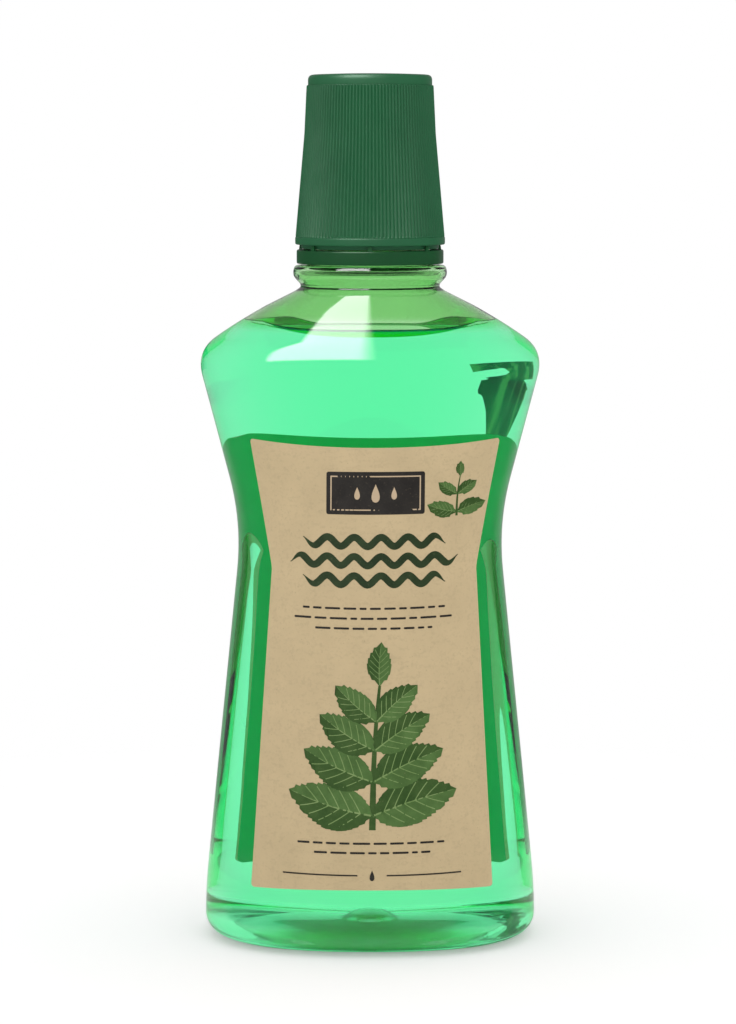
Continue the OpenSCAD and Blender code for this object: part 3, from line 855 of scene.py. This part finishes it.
# The dark card's outline, as millimetres to the right and up, and how far behind the bottle it stands
CARD_Y = 650
CARD = [
    (-116, 64), (-124, 104), (-225, 108), (-270, 140), (-245, 148), (-205, 148), (-173, 145), (-150, 140),
    (-150, 200), (-420, 300), (-600, 300), (-600, 267), (-418, 189), (-440, 185), (-640, 185), (-640, 64),
]


def stage_floor():
    """A pale floor that fades into the background and keeps the bottle's shadow."""
    place = (0, 0, FLOOR_Z)
    bpy.ops.mesh.primitive_circle_add(vertices=96, radius=FLOOR_R, fill_type="NGON", location=place)
    floor = bpy.context.object
    s = Shader("pale_floor", Roughness=0.9, Specular_IOR_Level=0.0)
    s.colour(s.mix(s.noise(6, 2), grey(0.89), grey(0.92)))
    path = s.add("LightPath").outputs
    seen = s.maths("MAXIMUM", path["Is Camera Ray"], path["Is Transmission Ray"])
    glow = s.add("Emission", Strength=s.maths("MULTIPLY", seen, FLOOR_FILL)).outputs[0]
    lit = s.add("AddShader")
    s.tree.links.new(s.main.outputs[0], lit.inputs[0])
    s.tree.links.new(glow, lit.inputs[1])
    reach = s.add("VectorMath", {"operation": "LENGTH"}, Vector=s.place).outputs["Value"]
    s.blend(s.smooth(reach, *FLOOR_FADE), lit.outputs[0], s.add("BsdfTransparent").outputs[0])
    floor.data.materials.append(s.material)
    floor.name = "pale_floor"


def world_light():
    """White where it is seen, softer where it lights, darker where it is reflected from the front."""
    world = bpy.data.worlds.new("studio")
    bpy.context.scene.world = world
    world.use_nodes = True
    tree = world.node_tree
    path = tree.nodes.new("ShaderNodeLightPath").outputs
    toward = tree.nodes.new("ShaderNodeSeparateXYZ")
    tree.links.new(tree.nodes.new("ShaderNodeTexCoord").outputs["Generated"], toward.inputs[0])
    behind = tree.nodes.new("ShaderNodeMapRange")
    behind.interpolation_type = "SMOOTHSTEP"
    limits = (*GLOSS_TURN, GLOSS_FRONT, GLOSS_BACK)
    for socket, value in zip(("From Min", "From Max", "To Min", "To Max"), limits):
        behind.inputs[socket].default_value = value
    tree.links.new(toward.outputs["Y"], behind.inputs["Value"])
    level = tree.nodes.new("ShaderNodeMix")
    level.inputs["A"].default_value = DIFFUSE_LIGHT
    tree.links.new(behind.outputs[0], level.inputs["B"])
    tree.links.new(path["Is Glossy Ray"], level.inputs["Factor"])
    seen = tree.nodes.new("ShaderNodeMath")
    seen.operation = "MAXIMUM"
    tree.links.new(path["Is Camera Ray"], seen.inputs[0])
    tree.links.new(path["Is Transmission Ray"], seen.inputs[1])
    whole = tree.nodes.new("ShaderNodeMix")
    whole.inputs["B"].default_value = 1.0
    tree.links.new(seen.outputs[0], whole.inputs["Factor"])
    tree.links.new(level.outputs[0], whole.inputs["A"])
    background = tree.nodes["Background"]
    background.inputs["Color"].default_value = (1, 1, 1, 1)
    tree.links.new(whole.outputs[0], background.inputs["Strength"])


def shoulder_light():
    """A soft lamp that is only reflected: a strip from its near end to its far one, with soft edges."""
    name = "shoulder_light"
    near, far = Vector(LAMP_NEAR), Vector(LAMP_FAR)
    along = (far - near).normalized()
    across = Vector(LAMP_ACROSS)
    across = (across - along * across.dot(along)).normalized()
    half_length = (far - near).length / 2
    near_half, far_half = (width / 2 for width in LAMP_WIDTHS)
    corners = [(-near_half, -half_length, 0), (near_half, -half_length, 0)]
    corners += [(far_half, half_length, 0), (-far_half, half_length, 0)]
    mesh = bpy.data.meshes.new(name)
    mesh.from_pydata(corners, [], [(0, 1, 2, 3)])
    s = Shader(name)
    place = s.add("SeparateXYZ", Vector=s.place).outputs
    half_width = s.add("MapRange", Value=place["Y"], From_Min=-half_length, From_Max=half_length)
    s.put(half_width.inputs["To Min"], near_half)
    s.put(half_width.inputs["To Max"], far_half)
    beside = s.maths("SUBTRACT", half_width.outputs[0], s.maths("ABSOLUTE", place["X"]))
    beyond = s.maths("SUBTRACT", half_length, s.maths("ABSOLUTE", place["Y"]))
    inside = s.maths("MULTIPLY", s.smooth(beside, 0.0, LAMP_EDGE), s.smooth(beyond, 0.0, LAMP_EDGE))
    glow = s.add("Emission", Strength=LAMP_RADIANCE).outputs[0]
    s.blend(inside, s.add("BsdfTransparent").outputs[0], glow)
    mesh.materials.append(s.material)
    lamp = bpy.data.objects.new(name, mesh)
    bpy.context.scene.collection.objects.link(lamp)
    turn = Matrix((across, along, across.cross(along))).transposed()
    lamp.matrix_world = Matrix.Translation((near + far) / 2) @ turn.to_4x4()
    for ray in ("camera", "diffuse", "transmission", "shadow"):
        setattr(lamp, "visible_" + ray, False)


def dark_card():
    """A dark card behind the bottle to the reader's left, seen only through it and reflected in it."""
    mesh = bpy.data.meshes.new("dark_card")
    mesh.from_pydata([(x * MM, CARD_Y * MM, z * MM) for x, z in CARD], [], [range(len(CARD))])
    s = Shader("dark_card", Roughness=0.8, Specular_IOR_Level=0.0)
    tones = (0.4, (0.015, 0.07, 0.055)), (0.52, (0.03, 0.12, 0.08)), (0.6, (0.16, 0.32, 0.15))
    s.colour(s.ramp(s.noise(13, 2), *tones))
    mesh.materials.append(s.material)
    card = bpy.data.objects.new("dark_card", mesh)
    bpy.context.scene.collection.objects.link(card)
    card.visible_camera = False
    card.visible_shadow = False


def camera():
    data = bpy.data.cameras.new("camera")
    data.lens = data.sensor_width * FOCAL_SHARE
    made = bpy.data.objects.new("camera", data)
    bpy.context.scene.collection.objects.link(made)
    made.location = (0, -VIEW_DISTANCE * MM, VIEW_HEIGHT * MM)
    made.rotation_euler = (math.radians(90 - VIEW_PITCH), 0, math.radians(AIM_LEFT))
    data.clip_start, data.clip_end = CLIP
    bpy.context.scene.camera = made


camera()
scene = bpy.context.scene
scene.view_settings.view_transform = "Standard"
scene.cycles.max_bounces = scene.cycles.transmission_bounces = LIGHT_BOUNCES

bottle()
mouthwash()
dosing_cap()
tamper_band()
inks = [ink("ink_" + tone, *shades) for tone, shades in INKS.items()]
label("front_paper", "front_label", FRONT, front_print(), inks)
label("back_paper", "back_label", BACK, back_print(), inks)

stage_floor()
world_light()
dark_card()
shoulder_light()
